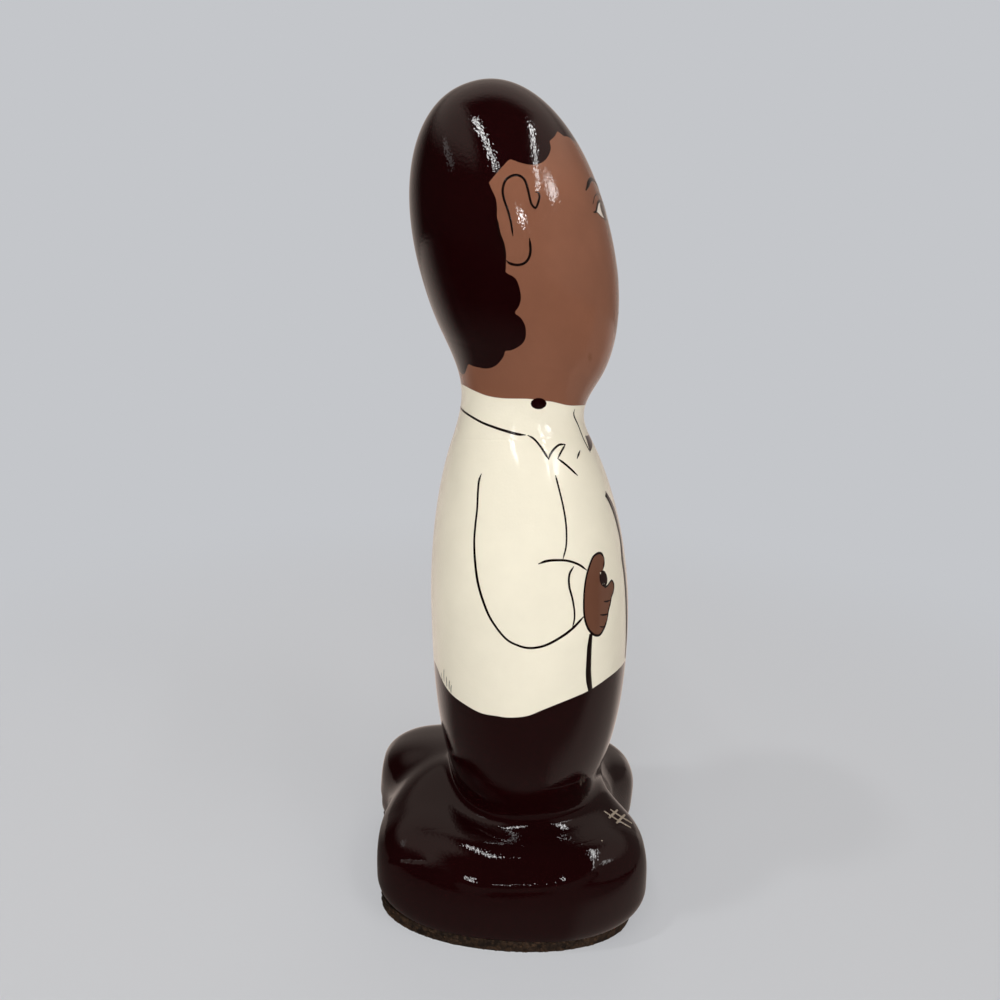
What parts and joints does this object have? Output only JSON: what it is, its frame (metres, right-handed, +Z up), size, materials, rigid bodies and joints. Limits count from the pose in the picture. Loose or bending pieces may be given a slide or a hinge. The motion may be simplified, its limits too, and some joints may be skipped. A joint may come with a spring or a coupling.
{
  "type": "painted rock figurine",
  "caption": "Standing person made of glossy painted pebbles: an oval head on an egg-shaped body on a pair of shoe stones, glued on a cork pad.",
  "frame": {"origin": "centre of the cork pad's underside, on the surface that the figure stands on", "axes": "+Z up; the figure faces -Y; its right side is at -X"},
  "size_m": [0.0718, 0.0805, 0.2119],
  "materials": {
    "head_paint": "brown and black paint under gloss varnish",
    "neck_paint": "cream paint on epoxy putty under gloss varnish",
    "body_paint": "cream and black-brown paint under gloss varnish",
    "ankle_paint": "black-brown paint on epoxy putty under gloss varnish",
    "shoe_paint": "black-brown paint under gloss varnish",
    "cork": "dark granulated cork sheet with a knife-cut edge"
  },
  "bodies": {
    "root": {"head_stone": "head_paint", "neck_putty": "neck_paint", "body_stone": "body_paint", "ankle_putty": "ankle_paint", "right_shoe_stone": "shoe_paint", "left_shoe_stone": "shoe_paint", "sole_pad": "cork"}
  },
  "joints": []
}
